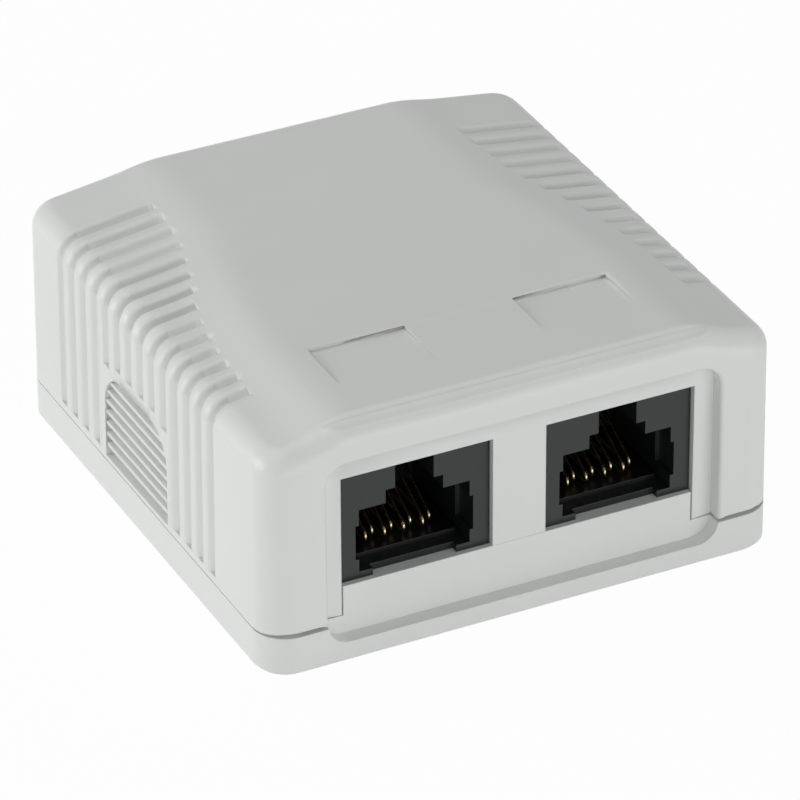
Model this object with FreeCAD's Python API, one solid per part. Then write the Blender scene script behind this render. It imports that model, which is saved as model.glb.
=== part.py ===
"""Two-port surface mount jack box: base, clip-on cover, board, jacks and terminal blocks.

Millimetres. X runs along the front, to the right. The front faces -Y. Z is up.
The origin is the middle of the underside.
"""
import FreeCAD, Part
import math
import os

V = FreeCAD.Vector

# ---- overall sizes -------------------------------------------------------
box_width = 55.0          # across the front, at the base
box_depth = 57.5          # front face to rear face
box_height = 26.1         # underside to the flat top
corner_radius = 3.4       # upright corners
parting_z = 4.35          # base below, cover above
draft_angle = 0.45        # degrees, the cover's upright walls

# ---- walls ---------------------------------------------------------------
cover_wall = 2.0
base_wall = 2.0
floor_thickness = 2.0
lip_thickness = 0.8
lip_rise = 1.6            # how far the base's inner lip stands above the parting line
cover_gap = 0.12          # between the cover and the base's lip
lip_margin = 0.8          # the lip ends this far outside the panel recess
base_edge_cut = 0.5       # bevel round the underside
inner_corner_cut = 1.4    # flats across the inner corners
overrun = 2.0             # tools run this far past the faces that they cut

# ---- top of the cover ----------------------------------------------------
shoulder_inner_z = 25.45  # height of the shoulders where the raised top meets them at the rear
shoulder_slope = 8.0      # degrees, falling outward
top_edge_radius = 2.5     # round from the top to the walls, all the way round
brow_depth = 2.1          # front strip in front of the raised top
brow_drop = 0.6           # how far that strip lies below the raised top
top_half_rear = 14.4      # half width of the flat top at the rear
top_half_front = 19.2     # and at the front
ramp_half_rear = 17.0     # half width where its side slope reaches the shoulder, rear
ramp_half_front = 23.3    # and front
flare_centre = 31.8       # distance from the front where the flare is steepest
flare_length = 27.0       # length of the flare's S-curve

# ---- side grooves --------------------------------------------------------
groove_count = 14
groove_pitch = 2.72
groove_first = 12.46      # distance of the first groove from the front
groove_width = 1.35       # at the surface
groove_floor = 0.5        # width of its flat bottom
groove_depth = 0.6
groove_foot_z = 5.3       # lower end of a full groove

# ---- louvred knockouts ---------------------------------------------------
louvre_pitches = 5.4      # width of the arch, in groove pitches
louvre_foot_z = 4.95
louvre_top_z = 15.0
louvre_radius = 4.0       # upper corners of the arch
louvre_depth = 1.1
louvre_ribs = 7
louvre_rib = 0.42
louvre_rib_step = 0.15    # ribs lie this far below the wall's surface
arch_margin = 1.2         # from the arch to the groove ends above it

# ---- front panel and jack windows ----------------------------------------
panel_side = 2.1          # recess beyond the windows, each side
panel_top_z = 22.0
panel_foot_z = 2.35
panel_depth = 1.6
panel_radius = 2.2
jack_pitch = 21.8
jack_width = 15.9
jack_height_seen = 11.9   # jack face above the tongue
window_gap = 0.1          # jack to window, each side and above
tongue_top_z = 7.6
tongue_thickness = 2.0
tongue_gap = 0.15         # tongue to the cover's notch, each side
jack_setback = 0.6        # jack face behind the panel

# ---- pry reliefs under the cover's front corners --------------------------
pry_inner = 19.8
pry_outer = 26.6
pry_height = 0.5
pry_ramp = 2.2

# ---- label recesses ------------------------------------------------------
label_width = 10.2
label_length = 7.2
label_rear = 14.55        # distance of the rear edge from the front
label_depth = 0.35        # at the rear edge, falling to nothing at the front

# ---- ribs inside the cover that hold the jacks down ------------------------
rib_thickness = 1.2
rib_spacing = 9.0
rib_gap = 0.3
rib_from_face = 9.5

# ---- circuit board -------------------------------------------------------
board_thickness = 1.6
board_side = 3.45         # board beyond the jacks, each side
board_gap = 0.3           # board to the tongue and to the front wall
board_depth = 33.5
board_corner = 1.0
post_diameter = 5.0
screw_diameter = 2.2
screw_fit = 0.03          # screw to its hole, all round
screw_head_diameter = 4.0
screw_head_height = 1.4
screw_length = 5.0
cross_length = 2.2
cross_width = 0.5
cross_depth = 0.8
pilot_spare = 0.3         # pilot hole below the screw's end
screw_inset = 2.6         # rear screws from the board's edges
screw_front = 12.8        # front screw, on the middle line, from the front face
pin_diameter = 2.2
pin_fit = 0.05
pin_rise = 1.0            # locating pins above the board
pin_inset = 1.9           # pins from the board's side edges
pin_front = 7.2           # pins from the front face

# ---- fixing to the wall --------------------------------------------------
wall_slot_spacing = 30.0
wall_slot_back = 9.0      # slots from the rear face
wall_slot_width = 4.4
wall_slot_length = 8.0
cable_hole_width = 12.0
cable_hole_depth = 8.0
cable_hole_radius = 2.0
tie_gap = 1.7             # between the anchor and the cable hole
tie_width = 7.0
tie_length = 3.0
tie_height = 2.6
tie_wall = 1.2
tie_tunnel = 1.5

# ---- jacks ---------------------------------------------------------------
jack_depth = 16.8
jack_plug_width = 11.75   # clear width of the plug chamber
jack_plug_height = 6.9    # from the chamber's floor to the first latch step
jack_floor_rise = 0.75    # chamber floor above the jack's underside
jack_plug_depth = 12.4
latch_mid_width = 6.1
latch_mid_height = 1.45
latch_top_width = 4.1     # this slot is open at the top
latch_top_depth = 8.5
jack_side_relief = 12.5   # width across the side reliefs
jack_relief_low = 1.4     # reliefs above the chamber floor
jack_relief_high = 5.15
jack_relief_depth = 3.0
jack_lip_cut = 8.9        # width of the cut in the lower lip
jack_lip_depth = 0.8
jack_peg_diameter = 3.0
peg_fit = 0.05
jack_peg_length = 2.4
jack_peg_spacing = 11.4
jack_peg_back = 7.6       # pegs from the jack's face

# ---- spring wires and their carrier --------------------------------------
wire_count = 8
wire_pitch = 1.02
wire_thickness = 0.36
wire_width = 0.44
wire_bend = 0.42          # inside radius of the front bend
wire_front = 3.2          # front of the bend behind the jack's face
wire_back = 0.7           # how much further back every second bend lies
wire_rise = 27.0          # degrees, the free leg
wire_leg = 8.6            # length of the free leg
wire_bend_steps = 4       # straight pieces in the front bend
tail_rows = (13.4, 15.0)  # solder tails behind the jack's face
tail_hole = 0.8
tail_below = 1.1          # tails below the board
carrier_width = 10.9
carrier_gap = 0.05        # carrier to the jack's rear bay
carrier_front = 2.3       # front of its tray behind the jack's face
tray_thickness = 1.15
tray_gap = 0.05           # tray above the board
comb_depth = 1.2
comb_slot = 0.66
comb_top = 5.9            # top of the comb above the tray
tail_slot = 0.6

# ---- terminal blocks -----------------------------------------------------
idc_pitch = 1.9
idc_end_wall = 0.4
idc_depth = 10.0
idc_height = 11.6
idc_gap_to_jack = 2.4
idc_slot_width = 0.62
idc_slot_depth = 5.6
idc_crown = 1.2           # the posts between the slots taper over this height
idc_step_depth = 2.4      # front and rear shelves of a block
idc_step_drop = 3.2
blade_thickness = 0.5
blade_width = 1.4
blade_top_drop = 1.6      # top of a blade below the block's top
blade_root = 1.2          # underside of a blade above the board
blade_fit = 0.04          # blade to its pocket
blade_slit = 0.34
blade_slit_depth = 4.2
blade_tail = 0.6
blade_hole_length = 0.9

# ---- places that follow from the sizes above ------------------------------
half_width = box_width / 2
front_y = -box_depth / 2
rear_y = box_depth / 2
tan_draft = math.tan(math.radians(draft_angle))
tan_shoulder = math.tan(math.radians(shoulder_slope))
board_top_z = tongue_top_z
board_bottom_z = board_top_z - board_thickness
panel_y = front_y + panel_depth
jack_face_y = panel_y + jack_setback
jack_rear_y = jack_face_y + jack_depth
board_front_y = panel_y + max(tongue_thickness, cover_wall) + board_gap
board_rear_y = board_front_y + board_depth
jack_top_z = tongue_top_z + jack_height_seen
jack_floor_z = board_top_z + jack_floor_rise
window_half = jack_width / 2 + window_gap
window_top_z = jack_top_z + window_gap
notch_half = jack_pitch / 2 + window_half
panel_half = notch_half + panel_side
board_half_width = jack_pitch / 2 + jack_width / 2 + board_side
slot_y = rear_y - wall_slot_back
tray_top_z = board_top_z + tray_gap + tray_thickness
jack_sides = {"left": -1, "right": 1}
louvre_middle = groove_first + groove_pitch * (groove_count - 1) / 2
louvre_half = groove_pitch * louvre_pitches / 2
shoulder_edge_z = shoulder_inner_z - tan_shoulder * (half_width - ramp_half_rear)


def from_front(distance):
    """Y of a place this far behind the front face."""
    return front_y + distance


def box(x0, x1, y0, y1, z0, z1):
    """Box between two corners."""
    return Part.makeBox(x1 - x0, y1 - y0, z1 - z0, V(x0, y0, z0))


def rounded_wire(half_x, y0, y1, radius, z):
    """Rounded rectangle, level, from y0 to y1."""
    corners = [(half_x, y0), (half_x, y1), (-half_x, y1), (-half_x, y0)]
    edges = []
    for index, (cx, cy) in enumerate(corners):
        nx, ny = corners[(index + 1) % 4]
        step = V(nx - cx, ny - cy, 0).normalize()
        start = V(cx, cy, z) + step * radius
        end = V(nx, ny, z) - step * radius
        edges.append(Part.makeLine(start, end))
        after = corners[(index + 2) % 4]
        turn = V(after[0] - nx, after[1] - ny, 0).normalize()
        middle = V(nx, ny, z) + (turn - step) * radius * (1 - math.sqrt(0.5))
        edges.append(Part.Arc(end, middle, V(nx, ny, z) + turn * radius).toShape())
    return Part.Wire(edges)


def rounded_prism(half_x, y0, y1, radius, z0, z1, shrink=0.0):
    """Upright rounded block; its sides draw in by shrink from z0 to z1."""
    lower = rounded_wire(half_x, y0, y1, radius, z0)
    if shrink == 0:
        return Part.Face(lower).extrude(V(0, 0, z1 - z0))
    upper_radius = max(radius - shrink, 0.2)
    upper = rounded_wire(half_x - shrink, y0 + shrink, y1 - shrink, upper_radius, z1)
    return Part.makeLoft([lower, upper], True, True)


def plate_outline(half_x, z0, z1, radius, y, round_foot=True):
    """Upright rounded rectangle facing the front; its lower corners may stay square."""
    low = radius if round_foot else 0.0
    diagonal = radius * (1 - math.sqrt(0.5))
    edges = [Part.makeLine(V(half_x, y, z0 + low), V(half_x, y, z1 - radius))]
    edges.append(Part.Arc(V(half_x, y, z1 - radius), V(half_x - diagonal, y, z1 - diagonal),
                          V(half_x - radius, y, z1)).toShape())
    edges.append(Part.makeLine(V(half_x - radius, y, z1), V(radius - half_x, y, z1)))
    edges.append(Part.Arc(V(radius - half_x, y, z1), V(diagonal - half_x, y, z1 - diagonal),
                          V(-half_x, y, z1 - radius)).toShape())
    edges.append(Part.makeLine(V(-half_x, y, z1 - radius), V(-half_x, y, z0 + low)))
    if round_foot:
        edges.append(Part.Arc(V(-half_x, y, z0 + low), V(diagonal - half_x, y, z0 + diagonal),
                              V(radius - half_x, y, z0)).toShape())
    edges.append(Part.makeLine(V(low - half_x, y, z0), V(half_x - low, y, z0)))
    if round_foot:
        edges.append(Part.Arc(V(half_x - low, y, z0), V(half_x - diagonal, y, z0 + diagonal),
                              V(half_x, y, z0 + low)).toShape())
    return Part.Wire(edges)


def chamfered_prism(half_x, y0, y1, cut, z0, z1, shrink=0.0):
    """Upright block with flats across its corners; its sides draw in by shrink from z0 to z1."""
    wires = []
    for inset, z in ((0.0, z0), (shrink, z1)):
        x, low, high = half_x - inset, y0 + inset, y1 - inset
        points = [V(x, low + cut, z), V(x, high - cut, z), V(x - cut, high, z), V(cut - x, high, z),
                  V(-x, high - cut, z), V(-x, low + cut, z), V(cut - x, low, z), V(x - cut, low, z)]
        wires.append(Part.makePolygon(points + [points[0]]))
    return Part.makeLoft(wires, True, True)


def octagon(x, y, across, z0, z1):
    """Upright eight-sided prism with its corners on a circle of this diameter."""
    turns = [math.radians(45 * k + 22.5) for k in range(8)]
    points = [V(x + across / 2 * math.cos(turn), y + across / 2 * math.sin(turn), z0)
              for turn in turns]
    return Part.Face(Part.makePolygon(points + [points[0]])).extrude(V(0, 0, z1 - z0))


def slot_cutter(x, y, length, width, z0, z1):
    """Upright slot with round ends, long along X."""
    straight = (length - width) / 2
    cutter = box(x - straight, x + straight, y - width / 2, y + width / 2, z0, z1)
    for end in (-1, 1):
        cutter = cutter.fuse(Part.makeCylinder(width / 2, z1 - z0, V(x + end * straight, y, z0)))
    return cutter.removeSplitter()


def mirrored(shape):
    """The same shape on the other side of the middle plane."""
    return shape.mirror(V(0, 0, 0), V(1, 0, 0))


def edges_where(shape, test):
    """Edges whose middle point passes the test."""
    found = []
    for edge in shape.Edges:
        middle = edge.valueAt((edge.FirstParameter + edge.LastParameter) / 2)
        if test(middle, edge):
            found.append(edge)
    return found


def flare(near_front, near_rear, y):
    """Half width of the raised top at y: an S-curve from the front value to the rear one."""
    t = (y - front_y - flare_centre) / flare_length
    blend = 0.5 + 0.5 * math.tanh(3.0 * t)
    return near_front + (near_rear - near_front) * blend


def screw_places():
    """Board screws: one between the jacks, two at the board's rear corners."""
    x = board_half_width - screw_inset
    rear = board_rear_y - screw_inset
    return [(0.0, from_front(screw_front)), (-x, rear), (x, rear)]


def pin_places():
    """Locating pins at the board's front corners."""
    x = board_half_width - pin_inset
    return [(-x, from_front(pin_front)), (x, from_front(pin_front))]


# ---- base ----------------------------------------------------------------

def lip_ring(outer_inset, inner_inset, z0, z1):
    """Ring between two offsets of the box's outline."""
    outer = rounded_prism(half_width - outer_inset, front_y + outer_inset, rear_y - outer_inset,
                          corner_radius - outer_inset, z0, z1)
    inner = chamfered_prism(half_width - inner_inset, front_y + inner_inset, rear_y - inner_inset,
                            inner_corner_cut, z0, z1)
    return outer.cut(inner)


def louvre_gaps(widen, z0, z1):
    """Boxes through both side walls at the knockouts."""
    reach = louvre_half + widen
    middle = from_front(louvre_middle)
    return [box(side * half_width - 4, side * half_width + 4, middle - reach, middle + reach, z0, z1)
            for side in (-1, 1)]


def panel_cutter(radius):
    """Recess of the front panel, cut in base and cover alike."""
    wire = plate_outline(panel_half, panel_foot_z, panel_top_z, radius, front_y - 1)
    return Part.Face(wire).extrude(V(0, 1 + panel_depth, 0))


def base():
    """Floor tray with low walls, the tongue under the jacks, lip, posts and openings."""
    body = rounded_prism(half_width, front_y, rear_y, corner_radius, 0, parting_z)
    body = body.makeChamfer(base_edge_cut, edges_where(body, lambda m, e: abs(m.z) < 1e-6))
    front_wall = panel_depth + base_wall
    hollow = chamfered_prism(half_width - base_wall, front_y + front_wall, rear_y - base_wall,
                             inner_corner_cut, floor_thickness, parting_z + 1)
    body = body.cut(hollow)
    lip = lip_ring(base_wall - lip_thickness, base_wall, parting_z - 0.5, parting_z + lip_rise)
    lip_stop = panel_half + lip_margin
    lip = lip.cut(box(-lip_stop, lip_stop, front_y - 1, from_front(front_wall) + 1, 0, box_height))
    for gap in louvre_gaps(0.5, parting_z, box_height):
        lip = lip.cut(gap)
    body = body.fuse(lip)
    body = body.cut(panel_cutter(panel_radius))
    tongue = box(tongue_gap - notch_half, notch_half - tongue_gap, panel_y,
                 panel_y + tongue_thickness, panel_foot_z, tongue_top_z)
    body = body.fuse(tongue)
    for x, y in screw_places() + pin_places():
        body = body.fuse(octagon(x, y, post_diameter, floor_thickness - 0.5, board_bottom_z))
    for x, y in pin_places():
        pin = Part.makeCylinder(pin_diameter / 2, board_thickness + pin_rise, V(x, y, board_bottom_z))
        body = body.fuse(pin)
    for x, y in screw_places():
        depth = screw_length - board_thickness + pilot_spare
        pilot = Part.makeCylinder(screw_diameter / 2 + screw_fit, depth,
                                  V(x, y, board_bottom_z - depth))
        body = body.cut(pilot)
    body = body.fuse(tie_anchor())
    for side in (-1, 1):
        body = body.cut(slot_cutter(side * wall_slot_spacing / 2, slot_y, wall_slot_length,
                                    wall_slot_width, -1, floor_thickness + 1))
    hole = rounded_prism(cable_hole_width / 2, slot_y - cable_hole_depth / 2,
                         slot_y + cable_hole_depth / 2, cable_hole_radius, -1, floor_thickness + 1)
    return body.cut(hole).removeSplitter()


def tie_anchor():
    """Low bridge on the floor that a cable tie passes under."""
    y = slot_y - cable_hole_depth / 2 - tie_gap - tie_length / 2
    block = box(-tie_width / 2, tie_width / 2, y - tie_length / 2, y + tie_length / 2,
                floor_thickness - 0.5, floor_thickness + tie_height)
    tunnel = box(tie_wall - tie_width / 2, tie_width / 2 - tie_wall, y - tie_length, y + tie_length,
                 floor_thickness, floor_thickness + tie_tunnel)
    return block.cut(tunnel)


# ---- cover ---------------------------------------------------------------

def ramp_half(y):
    """Half width at which the raised top's ramp reaches the shoulder."""
    return flare(ramp_half_front, ramp_half_rear, y)


def shoulder_z(x):
    """Height of the shoulder at this distance from the middle."""
    return shoulder_inner_z - tan_shoulder * (x - ramp_half_rear)


def roof_prism(drop):
    """Front-view outline of walls and sloping shoulders, a little deeper than the box."""
    reach = half_width + 1
    roof_half = top_half_rear - 1.2
    edge_z = shoulder_z(reach) - drop
    ridge_z = shoulder_z(roof_half) - drop
    y = front_y - overrun
    points = [V(-reach, y, 0), V(reach, y, 0), V(reach, y, edge_z), V(roof_half, y, ridge_z),
              V(-roof_half, y, ridge_z), V(-reach, y, edge_z)]
    face = Part.Face(Part.makePolygon(points + [points[0]]))
    return face.extrude(V(0, box_depth + 2 * overrun, 0))


def raised_top():
    """Flat top that widens toward the front in an S-curve, with ramps down to the shoulders."""
    depth = 2.0
    stations = 9
    upper = []
    lower = []
    for k in range(stations):
        y = front_y - overrun + (box_depth + 2 * overrun) * k / (stations - 1)
        top_half = flare(top_half_front, top_half_rear, y)
        run = (ramp_half(y) - top_half) / (box_height - shoulder_z(ramp_half(y)))
        upper.append((top_half, y))
        lower.append((top_half + run * depth, y))
    wires = []
    for outline, z in ((lower, box_height - depth), (upper, box_height)):
        right = Part.BSplineCurve()
        right.interpolate([V(x, y, z) for x, y in outline])
        left = Part.BSplineCurve()
        left.interpolate([V(-x, y, z) for x, y in reversed(outline)])
        first, last = outline[0], outline[-1]
        rear = Part.makeLine(V(last[0], last[1], z), V(-last[0], last[1], z))
        front = Part.makeLine(V(-first[0], first[1], z), V(first[0], first[1], z))
        wires.append(Part.Wire([right.toShape(), rear, left.toShape(), front]))
    return Part.makeLoft(wires, True, True)


def cover_block():
    """Outside of the cover as a solid block, with its top edges rounded."""
    rise = box_height + 1 - parting_z
    walls = rounded_prism(half_width, front_y, rear_y, corner_radius, parting_z,
                          parting_z + rise, tan_draft * rise)
    block = walls.common(roof_prism(0).fuse(raised_top()))
    sides = [face for face in walls.Faces if abs(face.normalAt(0, 0).z) < 0.5]

    def on_rim(middle, edge):
        if edge.BoundBox.ZMin < shoulder_edge_z - 1:
            return False
        point = Part.Vertex(middle)
        return any(face.distToShape(point)[0] < 1e-4 for face in sides)

    return block.makeFillet(top_edge_radius, edges_where(block, on_rim))


def round_places():
    """Centre of the rounded top edge beside the shoulder, and where it meets wall and shoulder."""
    wall = V(math.cos(math.radians(draft_angle)), 0, math.sin(math.radians(draft_angle)))
    roof = V(math.sin(math.radians(shoulder_slope)), 0, math.cos(math.radians(shoulder_slope)))
    wall_offset = half_width * wall.x + parting_z * wall.z - top_edge_radius
    roof_offset = ramp_half_rear * roof.x + shoulder_inner_z * roof.z - top_edge_radius
    spread = wall.x * roof.z - wall.z * roof.x
    centre = V((wall_offset * roof.z - roof_offset * wall.z) / spread, 0,
               (wall.x * roof_offset - roof.x * wall_offset) / spread)
    return centre, wall, roof


def groove_section(origin, outward, along):
    """Tapered section of a groove, level across the box's depth, at a point of the surface."""
    over = 0.3
    flank = (groove_width - groove_floor) / 2 / groove_depth
    wide = groove_width / 2 + flank * over
    narrow = groove_floor / 2
    corners = [(-wide, over), (wide, over), (narrow, -groove_depth), (-narrow, -groove_depth)]
    points = [origin + outward * height + V(0, across, 0) for across, height in corners]
    return Part.Face(Part.makePolygon(points + [points[0]]))


def groove_cutter(y, foot_z, end_x):
    """Groove up the side wall, round the top edge and along the shoulder."""
    centre, wall, roof = round_places()
    low = V(half_width - tan_draft * (foot_z - parting_z), y, foot_z)
    turn = centre + wall * top_edge_radius + V(0, y, 0)
    bend = centre + roof * top_edge_radius + V(0, y, 0)
    inner = V(end_x, y, shoulder_z(end_x))
    straight = groove_section(low, wall, turn - low).extrude(turn - low)
    around = groove_section(turn, wall, turn - low)
    angle = -(90 - draft_angle - shoulder_slope)
    around = around.revolve(centre + V(0, y, 0), V(0, 1, 0), angle)
    level = groove_section(bend, roof, inner - bend).extrude(inner - bend)
    return straight.fuse([around, level]).removeSplitter()


def groove_foot(offset):
    """Lower end of a groove this far along the box from the arch's middle."""
    reach = louvre_half + arch_margin
    if offset >= reach:
        return groove_foot_z
    flat = reach - louvre_radius
    top = louvre_top_z + arch_margin
    if offset <= flat:
        return top
    return top - louvre_radius + math.sqrt(louvre_radius ** 2 - (offset - flat) ** 2)


def side_grooves():
    """All the grooves of the right-hand side."""
    cutters = []
    for k in range(groove_count):
        distance = groove_first + groove_pitch * k
        y = from_front(distance)
        foot = groove_foot(abs(distance - louvre_middle))
        cutters.append(groove_cutter(y, foot, ramp_half(y)))
    return cutters


def louvre_cutter():
    """Arched field of the right-hand knockout, with its ribs left standing."""
    outer = half_width + 1
    arch = plate_outline(louvre_half, louvre_foot_z, louvre_top_z, louvre_radius, 0, False)
    field = Part.Face(arch).extrude(V(0, louvre_depth + 1, 0))
    field.rotate(V(0, 0, 0), V(0, 0, 1), 90)
    field.translate(V(outer, from_front(louvre_middle), 0))
    pitch = (louvre_top_z - louvre_foot_z) / (louvre_ribs + 1)
    reach = louvre_half + 1
    middle = from_front(louvre_middle)
    tip = half_width - louvre_rib_step
    root = half_width - louvre_depth - 1
    for k in range(1, louvre_ribs + 1):
        z = louvre_foot_z + pitch * k
        points = [V(root, middle - reach, z - pitch / 2), V(tip, middle - reach, z - louvre_rib / 2),
                  V(tip, middle - reach, z + louvre_rib / 2), V(root, middle - reach, z + louvre_rib)]
        rib = Part.Face(Part.makePolygon(points + [points[0]])).extrude(V(0, 2 * reach, 0))
        field = field.cut(rib)
    field.rotate(V(half_width, 0, parting_z), V(0, 1, 0), -draft_angle)
    return field


def label_cutter(side):
    """Shallow pocket for a paper label; its floor rises to the surface toward the front."""
    x = side * jack_pitch / 2
    rear = from_front(label_rear)
    front = rear - label_length
    points = [V(x - label_width / 2, rear, box_height - label_depth),
              V(x - label_width / 2, rear, box_height + 1),
              V(x - label_width / 2, front, box_height + 1),
              V(x - label_width / 2, front, box_height)]
    return Part.Face(Part.makePolygon(points + [points[0]])).extrude(V(label_width, 0, 0))


def pry_cutter(side):
    """Relief under a front corner of the cover, for a screwdriver blade."""
    y0 = front_y - 1
    points = [V(side * pry_inner, y0, parting_z - 1), V(side * pry_inner, y0, parting_z),
              V(side * (pry_inner + pry_ramp), y0, parting_z + pry_height),
              V(side * (pry_outer - pry_ramp / 2), y0, parting_z + pry_height),
              V(side * (half_width + 1), y0, parting_z),
              V(side * (half_width + 1), y0, parting_z - 1)]
    face = Part.Face(Part.makePolygon(points + [points[0]]))
    return face.extrude(V(0, 1 + corner_radius, 0))


def hold_down(side):
    """Pair of ribs under the cover's top that stop a jack from lifting."""
    ribs = []
    for offset in (-rib_spacing / 2, rib_spacing / 2):
        x = side * jack_pitch / 2 + offset
        ribs.append(box(x - rib_thickness / 2, x + rib_thickness / 2, jack_face_y + rib_from_face,
                        jack_rear_y - 1, jack_top_z + rib_gap, box_height - cover_wall / 2))
    return ribs


def cover():
    """Clip-on shell: flared top, grooves, knockouts, front panel, windows and label pockets."""
    body = cover_block()
    brow_z = box_height - brow_drop
    body = body.cut(box(-half_width, half_width, front_y - 1, from_front(brow_depth), brow_z,
                        box_height + 1))
    inner_front = panel_depth + cover_wall
    rise = box_height - parting_z
    room = chamfered_prism(half_width - cover_wall, from_front(inner_front), rear_y - cover_wall,
                           inner_corner_cut, parting_z - 1, box_height, tan_draft * rise)
    room = room.common(roof_prism(cover_wall)).cut(box(-half_width, half_width, front_y, rear_y,
                                                       box_height - cover_wall, box_height + 1))
    body = body.cut(room)
    rabbet_inset = base_wall - lip_thickness - cover_gap
    rabbet = rounded_prism(half_width - rabbet_inset, front_y + rabbet_inset, rear_y - rabbet_inset,
                           corner_radius - rabbet_inset, parting_z - 1,
                           parting_z + lip_rise + cover_gap)
    lip_stop = panel_half + lip_margin - cover_gap
    rabbet = rabbet.cut(box(-lip_stop, lip_stop, front_y - 1, from_front(inner_front), 0, box_height))
    for gap in louvre_gaps(0.3, 0, box_height):
        rabbet = rabbet.cut(gap)
    body = body.cut(rabbet)
    body = body.cut(panel_cutter(panel_radius))
    cuts = [box(-notch_half, notch_half, front_y - 1, from_front(inner_front) + 1, 0, tongue_top_z)]
    for side in jack_sides.values():
        middle = side * jack_pitch / 2
        cuts.append(box(middle - window_half, middle + window_half, front_y - 1,
                        from_front(inner_front) + 1, tongue_top_z - 1, window_top_z))
        cuts.append(label_cutter(side))
        cuts.append(pry_cutter(side))
    grooves = side_grooves() + [louvre_cutter()]
    cuts += grooves + [mirrored(shape) for shape in grooves]
    body = body.cut(cuts)
    for side in jack_sides.values():
        body = body.fuse(hold_down(side))
    return body.removeSplitter()


# ---- circuit board and its screws ----------------------------------------

def tail_places(side):
    """Solder tails of one jack's wires: X and Y, in two staggered rows."""
    places = []
    for k in range(wire_count):
        x = side * jack_pitch / 2 + (k - (wire_count - 1) / 2) * wire_pitch
        places.append((x, jack_face_y + tail_rows[k % 2]))
    return places


def blade_places(side):
    """Middles of one terminal block's blades."""
    y = jack_rear_y + idc_gap_to_jack + idc_depth / 2
    return [(side * jack_pitch / 2 + (k - (wire_count - 1) / 2) * idc_pitch, y)
            for k in range(wire_count)]


def peg_places(side):
    """Locating pegs of one jack."""
    middle = side * jack_pitch / 2
    y = jack_face_y + jack_peg_back
    return [(middle - jack_peg_spacing / 2, y), (middle + jack_peg_spacing / 2, y)]


def circuit_board():
    """Glass-epoxy board with holes for screws, pins, jack pegs, wire tails and blades."""
    board = rounded_prism(board_half_width, board_front_y, board_rear_y, board_corner,
                          board_bottom_z, board_top_z)
    z0 = board_bottom_z - 1
    height = board_thickness + 2
    holes = [Part.makeCylinder(screw_diameter / 2 + screw_fit, height, V(x, y, z0))
             for x, y in screw_places()]
    holes += [Part.makeCylinder(pin_diameter / 2 + pin_fit, height, V(x, y, z0))
              for x, y in pin_places()]
    for side in jack_sides.values():
        holes += [octagon(x, y, jack_peg_diameter + 2 * peg_fit, z0, z0 + height)
                  for x, y in peg_places(side)]
        holes += [octagon(x, y, tail_hole, z0, z0 + height) for x, y in tail_places(side)]
        holes += [box(x - blade_hole_length / 2, x + blade_hole_length / 2, y - tail_hole / 2,
                      y + tail_hole / 2, z0, z0 + height) for x, y in blade_places(side)]
    return board.cut(holes)


def board_screws():
    """Identical cheese-head screws with a cross recess."""
    screws = []
    shank = screw_diameter / 2
    radius = screw_head_diameter / 2
    profile = [V(0, 0, -screw_length), V(shank, 0, -screw_length), V(shank, 0, 0), V(radius, 0, 0),
               V(radius, 0, screw_head_height), V(0, 0, screw_head_height)]
    for x, y in screw_places():
        screw = Part.Face(Part.makePolygon(profile + [profile[0]])).revolve(V(0, 0, 0), V(0, 0, 1), 360)
        for length, width in ((cross_length, cross_width), (cross_width, cross_length)):
            screw = screw.cut(box(-length / 2, length / 2, -width / 2, width / 2,
                                  screw_head_height - cross_depth, screw_head_height + 1))
        screw.translate(V(x, y, board_top_z))
        screws.append(screw)
    return Part.makeCompound(screws)


# ---- jacks ---------------------------------------------------------------

def jack_housing(side):
    """Black shell of one jack: stepped plug chamber, latch slot, side reliefs and pegs."""
    middle = side * jack_pitch / 2
    face = jack_face_y
    body = box(middle - jack_width / 2, middle + jack_width / 2, face, jack_rear_y,
               board_top_z, jack_top_z)
    ceiling = jack_floor_z + jack_plug_height
    step = ceiling + latch_mid_height
    depth = face + jack_plug_depth
    bay = carrier_width / 2 + carrier_gap
    cuts = [
        box(middle - jack_plug_width / 2, middle + jack_plug_width / 2, face - 1, depth,
            jack_floor_z, ceiling),
        box(middle - latch_mid_width / 2, middle + latch_mid_width / 2, face - 1, depth,
            ceiling - 0.5, step),
        box(middle - latch_top_width / 2, middle + latch_top_width / 2, face - 1,
            face + latch_top_depth, step - 0.5, jack_top_z + 1),
        box(middle - jack_side_relief / 2, middle + jack_side_relief / 2, face - 1,
            face + jack_relief_depth, jack_floor_z + jack_relief_low, jack_floor_z + jack_relief_high),
        box(middle - jack_lip_cut / 2, middle + jack_lip_cut / 2, face - 1, face + jack_lip_depth,
            board_top_z - 1, jack_floor_z + 0.5),
        box(middle - bay, middle + bay, face + carrier_front - carrier_gap, jack_rear_y + 1,
            board_top_z - 1, jack_floor_z + 0.5),
        box(middle - bay, middle + bay, depth - 0.5, jack_rear_y + 1, jack_floor_z - 0.5, ceiling),
    ]
    body = body.cut(cuts)
    for x, y in peg_places(side):
        body = body.fuse(octagon(x, y, jack_peg_diameter, board_top_z - jack_peg_length,
                                 board_top_z))
    return body.removeSplitter()


def wire_start(side, k):
    """X of a wire, Y of its tail, and Y of the front of its bend."""
    x, tail_y = tail_places(side)[k]
    front = jack_face_y + wire_front + (wire_back if k % 2 else 0.0)
    return x, tail_y, front


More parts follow.
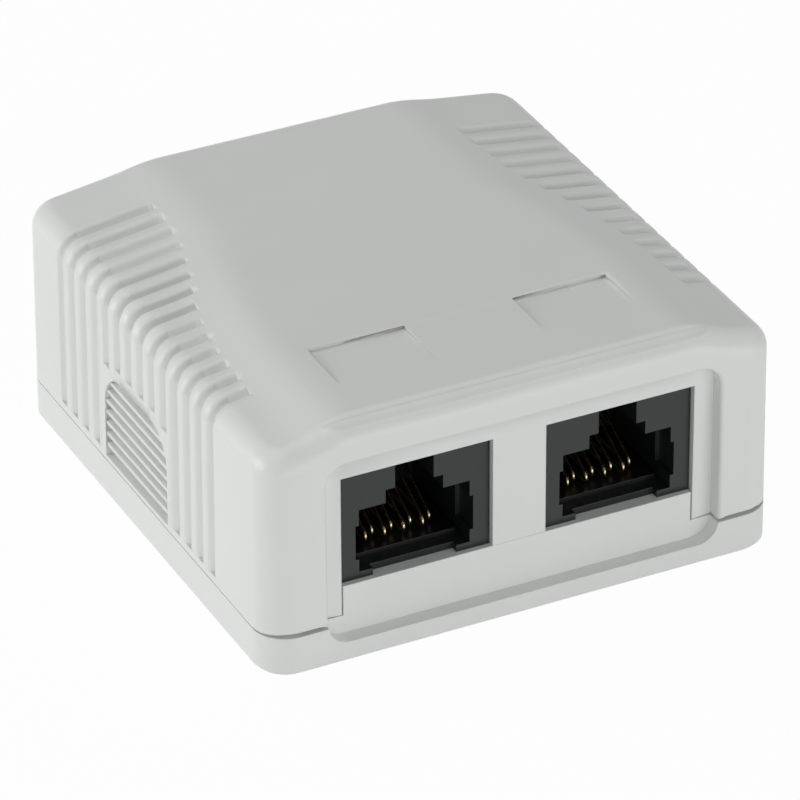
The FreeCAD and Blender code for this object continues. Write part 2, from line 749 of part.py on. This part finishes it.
def jack_wire(side, k):
    """One spring wire: solder tail, run along the tray, front bend and sloping free leg."""
    x, tail_y, front = wire_start(side, k)
    radius = wire_bend + wire_thickness / 2
    run_z = tray_top_z + wire_thickness / 2
    corner = wire_thickness
    path = [V(0, tail_y, board_bottom_z - tail_below), V(0, tail_y, run_z - corner),
            V(0, tail_y - corner, run_z)]
    centre = V(0, front + radius + wire_thickness / 2, run_z + radius)
    for step in range(wire_bend_steps + 1):
        turn = math.radians(-90 - (180 - wire_rise) * step / wire_bend_steps)
        path.append(centre + V(0, math.cos(turn), math.sin(turn)) * radius)
    rise = math.radians(wire_rise)
    path.append(path[-1] + V(0, math.cos(rise), math.sin(rise)) * wire_leg)
    wire = Part.Face(strip_outline(path, wire_thickness)).extrude(V(wire_width, 0, 0))
    wire.translate(V(x - wire_width / 2, 0, 0))
    return wire


def strip_outline(path, thickness):
    """Closed outline of a strip along a line of points in the YZ plane, with mitred bends."""
    runs = [(after - before).normalize() for before, after in zip(path, path[1:])]
    near = []
    far = []
    for point, before, after in zip(path, runs[:1] + runs, runs + runs[-1:]):
        along = (before + after).normalize()
        reach = V(0, -along.z, along.y) * (thickness / 2 / along.dot(before))
        near.append(point + reach)
        far.append(point - reach)
    return Part.makePolygon(near + far[::-1] + [near[0]])


def contact_carrier(side):
    """Insert with a tray below the wires and a comb that parts their free ends."""
    middle = side * jack_pitch / 2
    half = carrier_width / 2
    front = jack_face_y + carrier_front
    comb_front = jack_face_y + jack_plug_depth
    tray = box(middle - half, middle + half, front, jack_rear_y, board_top_z + tray_gap, tray_top_z)
    comb = box(middle - half, middle + half, comb_front, jack_rear_y, tray_top_z - 0.5,
               tray_top_z + comb_top)
    body = tray.fuse(comb)
    cuts = []
    for k, (x, y) in enumerate(tail_places(side)):
        cuts.append(box(x - comb_slot / 2, x + comb_slot / 2, comb_front - 1, comb_front + comb_depth,
                        tray_top_z, tray_top_z + comb_top + 1))
        cuts.append(box(x - comb_slot / 2, x + comb_slot / 2, comb_front - 1, y + tail_slot / 2,
                        tray_top_z, tray_top_z + wire_thickness + 0.2))
        cuts.append(box(x - comb_slot / 2, x + comb_slot / 2, y - tail_slot / 2, y + tail_slot / 2,
                        board_top_z - 1, tray_top_z + 0.5))
    return body.cut(cuts).removeSplitter()


# ---- terminal blocks -----------------------------------------------------

def idc_block(side):
    """Terminal block: a row of tapered posts with a wire slot and a blade pocket in each place."""
    middle = side * jack_pitch / 2
    width = idc_pitch * wire_count + 2 * idc_end_wall
    y0 = jack_rear_y + idc_gap_to_jack
    y1 = y0 + idc_depth
    top = board_top_z + idc_height
    body = box(middle - width / 2, middle + width / 2, y0, y1, board_top_z, top)
    cuts = []
    for x, y in blade_places(side):
        half = idc_slot_width / 2
        flare_half = half + idc_crown * 0.45
        points = [V(x - half, y0 - 1, top - idc_slot_depth), V(x + half, y0 - 1, top - idc_slot_depth),
                  V(x + half, y0 - 1, top - idc_crown), V(x + flare_half, y0 - 1, top + 0.01),
                  V(x - flare_half, y0 - 1, top + 0.01), V(x - half, y0 - 1, top - idc_crown)]
        cuts.append(Part.Face(Part.makePolygon(points + [points[0]])).extrude(V(0, idc_depth + 2, 0)))
        wide = blade_width / 2 + blade_fit
        thick = blade_thickness / 2 + blade_fit
        cuts.append(box(x - wide, x + wide, y - thick, y + thick, board_top_z + blade_root,
                        top + 1))
        tail = blade_tail / 2 + blade_fit
        cuts.append(box(x - tail, x + tail, y - thick, y + thick, board_top_z - 1,
                        board_top_z + blade_root + 0.5))
    for y_step, low, high in ((y0, -1, idc_step_depth), (y1, -idc_step_depth, 1)):
        cuts.append(box(middle - width, middle + width, y_step + low, y_step + high,
                        top - idc_step_drop, top + 1))
    return body.cut(cuts).removeSplitter()


def idc_blade(side, k):
    """Forked blade with a slit that grips the wire, and a solder tail."""
    x, y = blade_places(side)[k]
    top = board_top_z + idc_height - blade_top_drop
    root = board_top_z + blade_root
    mouth = blade_slit * 1.6
    half = blade_width / 2
    slit_z = top - blade_slit_depth
    points = [(-half, root), (-blade_tail / 2, root), (-blade_tail / 2, board_bottom_z - tail_below),
              (blade_tail / 2, board_bottom_z - tail_below), (blade_tail / 2, root), (half, root),
              (half, top), (mouth, top), (blade_slit / 2, top - 0.7), (blade_slit / 2, slit_z),
              (-blade_slit / 2, slit_z), (-blade_slit / 2, top - 0.7), (-mouth, top), (-half, top)]
    outline = [V(x + px, y - blade_thickness / 2, z) for px, z in points]
    return Part.Face(Part.makePolygon(outline + [outline[0]])).extrude(V(0, blade_thickness, 0))


# ---- whole box -----------------------------------------------------------

def make_nodes():
    """Every sub-part under its own name."""
    nodes = {"base": base(), "cover": cover(), "circuit_board": circuit_board(),
             "board_screws": board_screws()}
    for name, side in jack_sides.items():
        nodes["jack_housing_" + name] = jack_housing(side)
        nodes["contact_carrier_" + name] = contact_carrier(side)
        nodes["idc_block_" + name] = idc_block(side)
        for k in range(wire_count):
            nodes["jack_wire_" + name + "_" + str(k + 1)] = jack_wire(side, k)
            nodes["idc_blade_" + name + "_" + str(k + 1)] = idc_blade(side, k)
    return nodes


os.makedirs("parts", exist_ok=True)
for node, shape in make_nodes().items():
    shape.exportStep("parts/" + node + ".step")
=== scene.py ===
"""Looks of the two-port surface mount jack box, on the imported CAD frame. Metres."""
import math

import bmesh
import bpy
import numpy as np
from mathutils import Matrix, Vector


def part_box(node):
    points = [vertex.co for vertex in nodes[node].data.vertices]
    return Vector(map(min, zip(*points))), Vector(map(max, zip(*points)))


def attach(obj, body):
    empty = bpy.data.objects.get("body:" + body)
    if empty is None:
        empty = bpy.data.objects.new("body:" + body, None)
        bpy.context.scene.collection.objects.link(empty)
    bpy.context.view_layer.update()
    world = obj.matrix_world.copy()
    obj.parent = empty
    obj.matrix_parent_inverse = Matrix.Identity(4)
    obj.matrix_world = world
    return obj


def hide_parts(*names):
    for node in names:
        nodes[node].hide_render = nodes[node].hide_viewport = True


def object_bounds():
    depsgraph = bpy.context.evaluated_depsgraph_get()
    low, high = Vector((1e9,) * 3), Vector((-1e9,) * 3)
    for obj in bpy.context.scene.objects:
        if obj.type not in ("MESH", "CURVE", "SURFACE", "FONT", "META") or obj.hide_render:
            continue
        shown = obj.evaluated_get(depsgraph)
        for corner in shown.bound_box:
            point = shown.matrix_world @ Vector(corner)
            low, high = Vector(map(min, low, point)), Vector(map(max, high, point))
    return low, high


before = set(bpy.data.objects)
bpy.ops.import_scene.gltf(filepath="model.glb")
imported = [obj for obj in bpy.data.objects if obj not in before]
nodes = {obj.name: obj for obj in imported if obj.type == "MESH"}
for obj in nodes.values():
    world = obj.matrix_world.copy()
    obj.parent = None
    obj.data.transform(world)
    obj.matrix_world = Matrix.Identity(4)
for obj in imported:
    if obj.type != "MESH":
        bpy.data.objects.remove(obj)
cad_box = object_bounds()
MM = 0.001

# ---- sizes ----------------------------------------------------------------
front_y = cad_box[0].y
top_z = cad_box[1].z
top_half = (19.2 * MM, 14.4 * MM)      # half width of the flat top, front and rear
ramp_half = (23.3 * MM, 17.0 * MM)     # half width where its side slope meets the shoulder
flare_centre = 31.8 * MM               # from the front face to the steepest part of the flare
flare_length = 27.0 * MM
flare_turn = 3.0                       # how quickly the flare turns over its length
shoulder_inner = 25.45 * MM            # shoulder height at the rear foot of the slope
shoulder_slope = math.radians(8.0)
blend_reach = 2.1 * MM                 # the moulded blends run this far each side of a crease
blend_depth = 2.5 * MM                 # points this far below the roof no longer follow a blend
brow_y = front_y + 2.1 * MM            # riser between the front strip and the raised top
brow_drop = 0.6 * MM
brow_reach = 0.75 * MM                 # the riser turns over within this far of its place
brow_soft = 0.25 * MM                  # rounds the line where the strip runs into the slope
nose_y = front_y + 0.875 * MM          # where the front strip meets the rounded front edge
nose_reach = 0.7 * MM
nose_slope = 0.855                     # fall of the rounded edge where the strip meets it
panel_reach = (21.3 * MM, 22.3 * MM)   # just outside the front recess, across and up
lip_round = 0.45 * MM                  # rounded lip of that recess
lip_depth = 0.4 * MM                   # the lip lies within this far of the front face
label_rear = front_y + 14.55 * MM
label_depth = 0.35 * MM
label_undercut = 0.22 * MM             # the rear wall of a label pocket leans back under its edge
seam_z = 4.35 * MM                     # top of the base's wall, where the cover's edge stands
seam_gap = 0.1 * MM                    # the cover's edge stays open this much, a fine dark line
base_edge_mm = 0.15                    # round of the base's edges
wire_radius = 0.18 * MM
wire_bend = 0.6 * MM                   # radius of the front bend, at the middle of the wire
wire_rise = math.radians(27.0)         # slope of a wire's free leg
wire_leg = 8.6 * MM
wire_elbow = 0.5 * MM                  # radius of the turn from the tail to the tray

# ---- fineness of the roof's mesh --------------------------------------------
roof_grid = (0.7 * MM, 1.3 * MM)       # spacing across and along
roof_grid_half = (11.5 * MM, 26 * MM)  # the lines along the roof lie between these half widths
front_grid = 0.16 * MM                 # spacing along, near the front
front_grid_end = front_y + 3.4 * MM
roof_skin = 4 * MM                     # roof faces lie within this far of the top
roof_facing = 0.35                     # and face up by at least this much
same_point = 0.002 * MM                # corners of loose triangles this near are one
on_cut = 0.001 * MM                    # a corner this near a cutting plane lies on it
on_wall = 0.01 * MM                    # a corner this near a level or a wall lies on it
on_label = 0.02 * MM
same_roof_point = 0.004 * MM
speck = 0.0005 * MM                    # triangles thinner than this go
coplanar = math.radians(0.2)           # triangles within this angle are one flat face
cover_crease = math.radians(24)        # edges of the cover sharper than this stay sharp
wire_crease = math.radians(50)


# ---- small helpers --------------------------------------------------------

def srgb(text):
    """Linear RGBA of a colour written as sRGB hex."""
    parts = [int(text[k:k + 2], 16) / 255 for k in (1, 3, 5)]
    return [c / 12.92 if c <= 0.04045 else ((c + 0.055) / 1.055) ** 2.4 for c in parts] + [1.0]


def add_node(tree, kind, settings=None, **links):
    """Outputs of a new shader node; inputs are given as values or as other sockets."""
    node = tree.nodes.new(kind)
    for name, value in (settings or {}).items():
        setattr(node, name, value)
    for name, value in links.items():
        socket = node.inputs[int(name[1:]) if name[1:].isdigit() else name.replace("_", " ")]
        if isinstance(value, bpy.types.NodeSocket):
            tree.links.new(value, socket)
        else:
            socket.default_value = value
    return node.outputs


def new_tree(block):
    """Empty node tree of a material or world."""
    block.use_nodes = True
    block.node_tree.nodes.clear()
    return block.node_tree


def mesh_object(name, data):
    """Object for finished data, such as a mesh, a lamp or a camera, in the scene."""
    made = bpy.data.objects.new(name, data)
    bpy.context.scene.collection.objects.link(made)
    return made


# ---- materials ------------------------------------------------------------

def moulded_plastic(name, dark, light, rough, ior, grain_mm, depth_mm, edge_mm):
    """Moulded thermoplastic: grain coarse enough to show, faint flow shading, broken edges."""
    flow_mm = 9.0
    gloss_spread = 0.04
    material = bpy.data.materials.new(name)
    tree = new_tree(material)
    place = add_node(tree, "ShaderNodeTexCoord")["Object"]
    flow = add_node(tree, "ShaderNodeTexNoise", Vector=place, Scale=1 / (flow_mm * MM),
                    Detail=3.0)["Fac"]
    grain = add_node(tree, "ShaderNodeTexNoise", Vector=place, Scale=1 / (grain_mm * MM),
                     Detail=4.0)["Fac"]
    edge = add_node(tree, "ShaderNodeBevel", {"samples": 6}, Radius=edge_mm * MM)["Normal"]
    skin = add_node(tree, "ShaderNodeBump", Height=grain, Distance=depth_mm * MM,
                    Normal=edge)["Normal"]
    colour = add_node(tree, "ShaderNodeMix", {"data_type": "RGBA"}, _0=flow, _6=srgb(dark),
                      _7=srgb(light))[2]
    gloss = add_node(tree, "ShaderNodeMapRange", Value=flow, To_Min=rough - gloss_spread,
                     To_Max=rough + gloss_spread)["Result"]
    shader = add_node(tree, "ShaderNodeBsdfPrincipled", Base_Color=colour, Roughness=gloss,
                      IOR=ior, Normal=skin)[0]
    add_node(tree, "ShaderNodeOutputMaterial", Surface=shader)
    return material


def plated_metal(name, dark, light, rough, grain_mm, depth_mm):
    """Plated metal: slightly uneven colour and roughness, fine drawing grain."""
    wear_mm = 0.8
    gloss_spread = 0.06
    material = bpy.data.materials.new(name)
    tree = new_tree(material)
    place = add_node(tree, "ShaderNodeTexCoord")["Object"]
    wear = add_node(tree, "ShaderNodeTexNoise", Vector=place, Scale=1 / (wear_mm * MM),
                    Detail=3.0)["Fac"]
    grain = add_node(tree, "ShaderNodeTexNoise", Vector=place, Scale=1 / (grain_mm * MM),
                     Detail=2.0)["Fac"]
    skin = add_node(tree, "ShaderNodeBump", Height=grain, Distance=depth_mm * MM)["Normal"]
    colour = add_node(tree, "ShaderNodeMix", {"data_type": "RGBA"}, _0=wear, _6=srgb(dark),
                      _7=srgb(light))[2]
    gloss = add_node(tree, "ShaderNodeMapRange", Value=wear, To_Min=rough - gloss_spread,
                     To_Max=rough + gloss_spread)["Result"]
    shader = add_node(tree, "ShaderNodeBsdfPrincipled", Base_Color=colour, Metallic=1.0,
                      Roughness=gloss, Normal=skin)[0]
    add_node(tree, "ShaderNodeOutputMaterial", Surface=shader)
    return material


def solder_mask_board(name):
    """Green solder mask over glass cloth: the weave shows under the lacquer."""
    strand_mm = 0.9
    patch_mm = 4.0
    weave_mm = 0.01
    waver = 0.4
    material = bpy.data.materials.new(name)
    tree = new_tree(material)
    place = add_node(tree, "ShaderNodeTexCoord")["Object"]
    strands = 1 / (2 * math.pi * strand_mm * MM)
    across = add_node(tree, "ShaderNodeTexWave", {"bands_direction": "X"}, Vector=place,
                      Scale=strands, Distortion=waver)["Fac"]
    along = add_node(tree, "ShaderNodeTexWave", {"bands_direction": "Y"}, Vector=place,
                     Scale=strands, Distortion=waver)["Fac"]
    weave = add_node(tree, "ShaderNodeMath", {"operation": "ADD"}, _0=across, _1=along)[0]
    patches = add_node(tree, "ShaderNodeTexNoise", Vector=place, Scale=1 / (patch_mm * MM))["Fac"]
    skin = add_node(tree, "ShaderNodeBump", Height=weave, Distance=weave_mm * MM)["Normal"]
    colour = add_node(tree, "ShaderNodeMix", {"data_type": "RGBA"}, _0=patches,
                      _6=srgb("#1d5a34"), _7=srgb("#256b40"))[2]
    gloss = add_node(tree, "ShaderNodeMapRange", Value=patches, To_Min=0.28, To_Max=0.38)["Result"]
    shader = add_node(tree, "ShaderNodeBsdfPrincipled", Base_Color=colour, Roughness=gloss,
                      IOR=1.52, Normal=skin)[0]
    add_node(tree, "ShaderNodeOutputMaterial", Surface=shader)
    return material


# Off-white ABS, satin spark finish: grain of 0.25 mm, 0.004 mm deep, drawn coarse enough to show.
shell_abs = moulded_plastic("abs_off_white_satin", "#e6e8e6", "#eaecea", rough=0.40, ior=1.53,
                            grain_mm=0.25, depth_mm=0.004, edge_mm=0.16)
# Black PBT of the jacks: smooth tool finish, so the flat face mirrors pale surroundings faintly.
jack_pbt = moulded_plastic("pbt_black_satin", "#1a1f1e", "#1f2423", rough=0.36, ior=1.5,
                           grain_mm=0.2, depth_mm=0.002, edge_mm=0.1)
# Black polycarbonate inserts, drawn deeper black than the jacks: the extra depth is painted shade,
# so the plug chamber stays dark.
carrier_pc_painted_shade = moulded_plastic("polycarbonate_black_painted_shade", "#0d0e0f", "#121314", rough=0.38, ior=1.58,
                             grain_mm=0.3, depth_mm=0.002, edge_mm=0.08)
# Ivory polycarbonate terminal blocks: warm and satin beside the green board.
block_pc = moulded_plastic("polycarbonate_ivory", "#dcd9cd", "#e2dfd4", rough=0.35, ior=1.58,
                           grain_mm=0.3, depth_mm=0.002, edge_mm=0.08)
# Gold flash over nickel: pale and a little dull, because the plating is thin; drawn smooth.
contact_gold = plated_metal("gold_over_nickel", "#b9a67e", "#cbbb98", rough=0.24,
                            grain_mm=0.05, depth_mm=0.0005)
# Tinned bronze blades: greyish white metal with a soft shine.
blade_tin = plated_metal("tinned_bronze", "#c4c3bd", "#d2d1cc", rough=0.32,
                         grain_mm=0.05, depth_mm=0.001)
# Zinc plated steel screws: bluish bright, with a slight grain from barrel plating.
screw_zinc = plated_metal("zinc_plated_steel", "#b4b6b8", "#c6c8ca", rough=0.3,
                          grain_mm=0.08, depth_mm=0.002)
# FR-4 board: glossy green lacquer; the glass cloth's strands are drawn wide enough to show.
board_fr4 = solder_mask_board("fr4_green_mask")

finishes = [("base", shell_abs), ("cover", shell_abs), ("circuit_board", board_fr4),
            ("board_screws", screw_zinc), ("jack_housing", jack_pbt),
            ("contact_carrier", carrier_pc_painted_shade), ("idc_block", block_pc),
            ("jack_wire", contact_gold), ("idc_blade", blade_tin)]
for name, node in nodes.items():
    material = next(finish for prefix, finish in finishes if name.startswith(prefix))
    node.data.materials.clear()
    node.data.materials.append(material)


# ---- cover shell ----------------------------------------------------------

def flare(halves, y):
    """Half width at y: front value turning into the rear one along a hyperbolic tangent."""
    turn = 0.5 + 0.5 * np.tanh(flare_turn * (y - front_y - flare_centre) / flare_length)
    return halves[0] + (halves[1] - halves[0]) * turn


def roof_blend(x, y):
    """How far a blend of half width w moves the roof: slope change / (4 w) * (w - distance)^2."""
    across = np.abs(x)
    crest, foot = flare(top_half, y), flare(ramp_half, y)
    shoulder = math.tan(shoulder_slope)
    drop = top_z - shoulder_inner + shoulder * (foot - ramp_half[1])
    slope = drop / (foot - crest)
    near_crest = np.clip(blend_reach - np.abs(across - crest), 0, None) ** 2
    near_foot = np.clip(blend_reach - np.abs(across - foot), 0, None) ** 2
    return ((slope - shoulder) * near_foot - slope * near_crest) / (4 * blend_reach)


def sharp_roof(x, y):
    """Height of the creased roof: the shoulder outside the slope, inside it the slope or the top."""
    across = np.abs(x)
    crest, foot = flare(top_half, y), flare(ramp_half, y)
    shoulder = shoulder_inner - math.tan(shoulder_slope) * (across - ramp_half[1])
    at_foot = shoulder_inner - math.tan(shoulder_slope) * (foot - ramp_half[1])
    ramp = top_z - (top_z - at_foot) * (across - crest) / (foot - crest)
    return np.where(across > foot, shoulder, np.minimum(ramp, top_z))


def settled_roof(x, y, z):
    """Rise of the roof at a point: the blended creases, with the riser turned into a smooth S.

    The front strip lies at the lower of the roof and the strip's level, with the change rounded
    as (gap + sqrt(gap^2 + soft^2)) / 2. The S goes from strip to roof by t * t * (3 - 2 t).
    """
    sharp = sharp_roof(x, y)
    strip = np.minimum(sharp, top_z - brow_drop)
    on_riser = np.abs(y - brow_y) < on_wall
    nearest = np.where(np.abs(z - sharp) < np.abs(z - strip), sharp, strip)
    before = np.where(on_riser, nearest, np.where(y > brow_y, sharp, strip))
    behind = sharp + roof_blend(x, y)
    gap = behind - (top_z - brow_drop)
    ahead = behind - (gap + np.sqrt(gap ** 2 + brow_soft ** 2)) / 2
    turn = np.clip(0.5 + (y - brow_y) / (2 * brow_reach), 0, 1)
    after = ahead + (behind - ahead) * turn * turn * (3 - 2 * turn)
    near_nose = np.clip(nose_reach - np.abs(y - nose_y), 0, None) ** 2
    nose = nose_slope * near_nose / (4 * nose_reach) * np.clip(gap / brow_drop, 0, 1)
    share = np.clip(1 - (before - z) / blend_depth, 0, 1)
    return (after - before) * share - nose


def on_label_wall(point):
    """True at the foot of the rear wall of a label pocket."""
    return (abs(point.y - label_rear) < on_label and abs(point.x) < ramp_half[0]
            and abs(point.z - top_z + label_depth) < on_label)


def lip_edge(edge):
    """True on the rim of the front recess, between the front face and the recess's side."""
    middle = (edge.verts[0].co + edge.verts[1].co) / 2
    if (len(edge.link_faces) != 2 or middle.y > front_y + lip_depth
            or abs(middle.x) > panel_reach[0] or middle.z >= panel_reach[1]):
        return False
    first, second = sorted(abs(face.normal.y) for face in edge.link_faces)
    return first < 0.2 and second > 0.99


def on_riser(face):
    """True for a face of the riser behind the front strip."""
    return (all(abs(vertex.co.y - brow_y) < on_wall for vertex in face.verts)
            and face.calc_center_median().z > top_z - brow_drop - on_wall)


def divide_roof(shape):
    """Cut the roof into a grid, finer at the front; gives the roof's vertices."""
    roof = [face for face in shape.faces if face.normal.z > roof_facing
            and face.calc_center_median().z > top_z - roof_skin]
    part = list({item for face in roof for item in (*face.verts, *face.edges)}) + roof
    inner, outer = roof_grid_half
    cuts = [(Vector((x, 0, 0)), Vector((1, 0, 0)))
            for x in np.arange(-outer, outer, roof_grid[0]) if abs(x) > inner]
    rows = [*np.arange(front_y + front_grid, front_grid_end, front_grid),
            *np.arange(front_grid_end, -front_y, roof_grid[1])]
    cuts += [(Vector((0, y, 0)), Vector((0, 1, 0))) for y in rows]
    for place, normal in cuts:
        part = bmesh.ops.bisect_plane(shape, geom=part, dist=on_cut, plane_co=place,
                                      plane_no=normal)["geom"]
    faces = [item for item in part if isinstance(item, bmesh.types.BMFace)]
    return list({vertex for face in faces for vertex in face.verts})


def weigh_normals(piece):
    """Shade by face area, so that wide flats stay flat beside their small rounds."""
    shading = piece.modifiers.new("flat_first", "WEIGHTED_NORMAL")
    shading.mode = "FACE_AREA_WITH_ANGLE"
    shading.keep_sharp = True


def cover_shell():
    """The cover with its moulded blends: lip, riser, label undercuts and the roof's creases."""
    shape = bmesh.new()
    shape.from_mesh(nodes["cover"].data)
    bmesh.ops.remove_doubles(shape, verts=shape.verts[:], dist=same_point)
    bmesh.ops.dissolve_limit(shape, angle_limit=coplanar, verts=shape.verts[:],
                             edges=shape.edges[:])
    shape.normal_update()
    for vertex in shape.verts:
        if abs(vertex.co.z - seam_z) < on_wall:
            vertex.co.z += seam_gap
        if on_label_wall(vertex.co):
            vertex.co.y += label_undercut
    lip = [edge for edge in shape.edges if lip_edge(edge)]
    bmesh.ops.bevel(shape, geom=lip, offset=lip_round, segments=5, profile=0.5, affect="EDGES",
                    clamp_overlap=True)
    shape.normal_update()
    moving = divide_roof(shape)
    # The S takes the place of the riser's faces. Its two rims end 0.06 mm apart: a fine slit.
    riser = [face for face in shape.faces if on_riser(face)]
    bmesh.ops.delete(shape, geom=riser, context="FACES_ONLY")
    points = np.array([vertex.co for vertex in moving])
    for vertex, rise in zip(moving, settled_roof(*points.T)):
        vertex.co.z += rise
    bmesh.ops.remove_doubles(shape, verts=moving, dist=same_roof_point)
    bmesh.ops.triangulate(shape, faces=shape.faces[:])
    bmesh.ops.dissolve_degenerate(shape, dist=speck, edges=shape.edges[:])
    mesh = bpy.data.meshes.new("cover_shell")
    shape.to_mesh(mesh)
    shape.free()
    mesh.materials.append(shell_abs)
    mesh.shade_smooth()
    shell = mesh_object("cover_shell", mesh)
    mesh.set_sharp_from_angle(angle=cover_crease)
    weigh_normals(shell)
    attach(shell, "box_cover")
    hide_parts("cover")


def soften(node, radius_mm, segments, limit_degrees):
    """Merge the loose triangles and round the edges a little."""
    weld = node.modifiers.new("weld", "WELD")
    weld.merge_threshold = same_point
    bevel = node.modifiers.new("edges", "BEVEL")
    bevel.width = radius_mm * MM
    bevel.segments = segments
    bevel.limit_method = "ANGLE"
    bevel.angle_limit = math.radians(limit_degrees)
    bevel.use_clamp_overlap = True


# ---- spring wires -----------------------------------------------------------

def arc(centre, radius, first, last, steps):
    """Points (y, z) on a circle from one angle to another."""
    turn = np.linspace(first, last, steps)
    return np.stack([centre[0] + radius * np.cos(turn), centre[1] + radius * np.sin(turn)], 1)


def rod(name, x, path, radius, sides=12):
    """Round rod: a circle carried along a line in the YZ plane, square to it, with closed ends."""
    along = np.gradient(path, axis=0)
    along /= np.linalg.norm(along, axis=1)[:, None]
    turn = np.arange(sides) * 2 * math.pi / sides
    points = np.empty((len(path), sides, 3))
    points[..., 0] = x + radius * np.cos(turn)
    points[..., 1] = path[:, :1] - along[:, 1:] * radius * np.sin(turn)
    points[..., 2] = path[:, 1:] + along[:, :1] * radius * np.sin(turn)
    ring, side = np.meshgrid(np.arange(len(path) - 1), np.arange(sides), indexing="ij")
    after = (side + 1) % sides
    quads = np.stack([ring * sides + side, ring * sides + after, (ring + 1) * sides + after,
                      (ring + 1) * sides + side], -1).reshape(-1, 4)
    ends = [list(range(sides))[::-1], list(range((len(path) - 1) * sides, len(path) * sides))]
    mesh = bpy.data.meshes.new(name)
    mesh.from_pydata(points.reshape(-1, 3), [], quads.tolist() + ends)
    mesh.shade_smooth()
    mesh.set_sharp_from_angle(angle=wire_crease)
    return mesh


def spring_wire(name, node):
    """Contact of drawn wire: tail, elbow, run along the tray, front bend and sloping free leg."""
    low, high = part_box(node)
    tail_y = high.y - wire_radius
    foot = (1 + math.cos(wire_rise)) * wire_bend
    run_z = high.z - wire_radius * math.cos(wire_rise) - wire_leg * math.sin(wire_rise) - foot
    bend = (low.y + wire_radius + wire_bend, run_z + wire_bend)
    elbow = arc((tail_y - wire_elbow, run_z - wire_elbow), wire_elbow, 0, math.pi / 2, steps=6)
    front = arc(bend, wire_bend, -math.pi / 2, -1.5 * math.pi + wire_rise, steps=18)
    leg = front[-1] + np.array([math.cos(wire_rise), math.sin(wire_rise)]) * wire_leg
    path = np.vstack([[(tail_y, low.z)], elbow, front, [leg]])
    wire = mesh_object(name, rod(name, (low.x + high.x) / 2, path, wire_radius))
    wire.data.materials.append(contact_gold)
    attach(wire, "box_base")
    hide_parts(node)


# ---- setting ---------------------------------------------------------------

def pale_to_view(name, surface, shade):
    """Surface that lights the object as itself and shows near white to the camera and in gloss."""
    material = bpy.data.materials.new(name)
    tree = new_tree(material)
    rays = add_node(tree, "ShaderNodeLightPath")
    gloss = add_node(tree, "ShaderNodeMath", {"operation": "ADD"}, _0=rays["Is Glossy Ray"],
                     _1=rays["Is Transmission Ray"])[0]
    view = add_node(tree, "ShaderNodeMath", {"operation": "ADD", "use_clamp": True},
                    _0=rays["Is Camera Ray"], _1=gloss)[0]
    seen = add_node(tree, "ShaderNodeMath", {"operation": "MULTIPLY"}, _0=view, _1=shade)[0]
    matt = add_node(tree, "ShaderNodeBsdfDiffuse", Color=srgb(surface))[0]
    glow = add_node(tree, "ShaderNodeEmission", Color=srgb("#ffffff"), Strength=1.0)[0]
    mixed = add_node(tree, "ShaderNodeMixShader", _0=seen, _1=matt, _2=glow)[0]
    add_node(tree, "ShaderNodeOutputMaterial", Surface=mixed)
    return material


def make_floor(half):
    """Flat square floor just below the underside of the box."""
    z = cad_box[0].z - 0.02 * MM
    mesh = bpy.data.meshes.new("floor")
    mesh.from_pydata([(-half, -half, z), (half, -half, z), (half, half, z), (-half, half, z)], [],
                     [(0, 1, 2, 3)])
    mesh.materials.append(pale_to_view("floor_paper_white", "#f0f0f0", shade=0.97))
    mesh_object("floor", mesh)


def area_lamp(name, position, size, watts):
    """Rectangular soft lamp that faces the middle of the box."""
    light = bpy.data.lights.new(name, "AREA")
    light.shape = "RECTANGLE"
    light.size, light.size_y = size
    light.energy = watts
    lamp = mesh_object(name, light)
    lamp.location = position
    facing = Vector((0, 0, top_z / 2)) - Vector(position)
    lamp.rotation_euler = facing.to_track_quat("-Z", "Y").to_euler()


def studio_world(level):
    """Soft even light all round; the camera sees white."""
    world = bpy.data.worlds.new("studio")
    bpy.context.scene.world = world
    tree = new_tree(world)
    rays = add_node(tree, "ShaderNodeLightPath")
    soft = add_node(tree, "ShaderNodeBackground", Color=srgb("#ffffff"), Strength=level)[0]
    white = add_node(tree, "ShaderNodeBackground", Color=srgb("#ffffff"), Strength=1.0)[0]
    mixed = add_node(tree, "ShaderNodeMixShader", _0=rays["Is Camera Ray"], _1=soft, _2=white)[0]
    add_node(tree, "ShaderNodeOutputWorld", Surface=mixed)


def make_camera():
    """Long lens, three-quarter view from the left front, tilted a little."""
    azimuth, elevation, roll = math.radians(-26.37), math.radians(31.11), math.radians(-0.21)
    distance = 0.60296
    aim = Vector((2.95, 1.07, 7.95)) * MM
    back = Vector((math.sin(azimuth) * math.cos(elevation),
                   -math.cos(azimuth) * math.cos(elevation), math.sin(elevation)))
    data = bpy.data.cameras.new("camera")
    data.sensor_width = 36.0
    data.lens = 271.75
    data.shift_x, data.shift_y = -0.0195, -0.0088
    data.clip_start, data.clip_end = 0.01, 50.0
    camera = mesh_object("camera", data)
    facing = (-back).to_track_quat("-Z", "Y").to_matrix() @ Matrix.Rotation(roll, 3, "Z")
    camera.matrix_world = Matrix.Translation(aim + back * distance) @ facing.to_4x4()
    bpy.context.scene.camera = camera


bpy.context.scene.view_settings.view_transform = "Standard"
cover_shell()
soften(nodes["base"], base_edge_mm, segments=2, limit_degrees=40)
for node in sorted(nodes):
    if node.startswith("jack_wire"):
        spring_wire(node.replace("jack_wire", "spring_wire"), node)

make_floor(1.5)
studio_world(0.30)
area_lamp("key_left_rear", (-0.75, 0.30, 0.18), (0.5, 0.3), 2.64)
area_lamp("fill_right_front", (0.40, -0.72, 0.10), (0.5, 0.3), 1.55)
area_lamp("fill_front", (-0.15, -0.80, 0.04), (0.6, 0.2), 1.54)
area_lamp("behind_top", (-0.20, 0.75, 0.50), (0.6, 0.4), 0.05)
area_lamp("overhead", (-0.10, 0.20, 0.80), (0.7, 0.7), 1.77)
make_camera()
